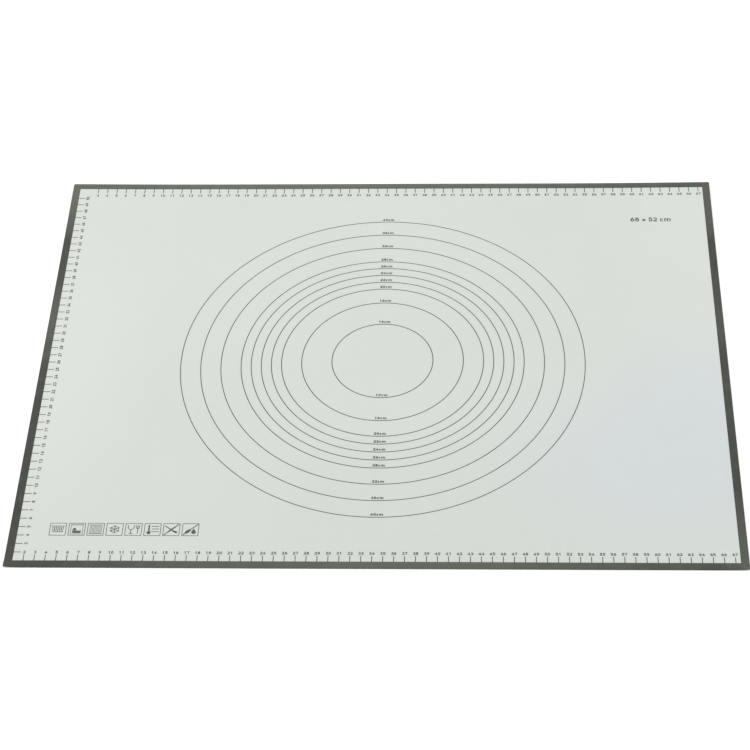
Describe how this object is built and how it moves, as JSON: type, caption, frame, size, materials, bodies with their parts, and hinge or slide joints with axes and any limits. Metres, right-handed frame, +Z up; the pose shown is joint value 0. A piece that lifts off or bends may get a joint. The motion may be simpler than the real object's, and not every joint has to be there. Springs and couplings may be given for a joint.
{
  "type": "silicone baking mat",
  "caption": "Thin rectangular baking mat of coated glass cloth with a dark edge band, printed size rings, centimetre rulers along three sides and a row of care signs.",
  "frame": {"origin": "middle of the underside, on the surface that the mat lies on", "axes": "+X along the long side to the user's right, +Y away from the user towards the rear ruler, +Z up out of the printed face"},
  "size_m": [0.68, 0.52, 0.0009],
  "materials": {
    "glass_cloth": "plain-woven glass yarn soaked with silicone",
    "underside_silicone": "matt, with the cloth's weave just showing",
    "pale_silicone": "satin pale grey-green silicone",
    "dark_silicone": "satin dark grey silicone",
    "print_ink": "matt dark grey-green silicone ink"
  },
  "bodies": {
    "root": {"fibreglass_core": "glass_cloth", "lower_silicone_layer": "underside_silicone", "upper_silicone_layer": "pale_silicone", "edge_band": "dark_silicone", "front_ruler_ticks": "print_ink", "rear_ruler_ticks": "print_ink", "left_ruler_ticks": "print_ink", "ring_100mm": "print_ink", "ring_160mm": "print_ink", "ring_200mm": "print_ink", "ring_220mm": "print_ink", "ring_240mm": "print_ink", "ring_260mm": "print_ink", "ring_280mm": "print_ink", "ring_320mm": "print_ink", "ring_360mm": "print_ink", "ring_400mm": "print_ink"}
  },
  "joints": []
}
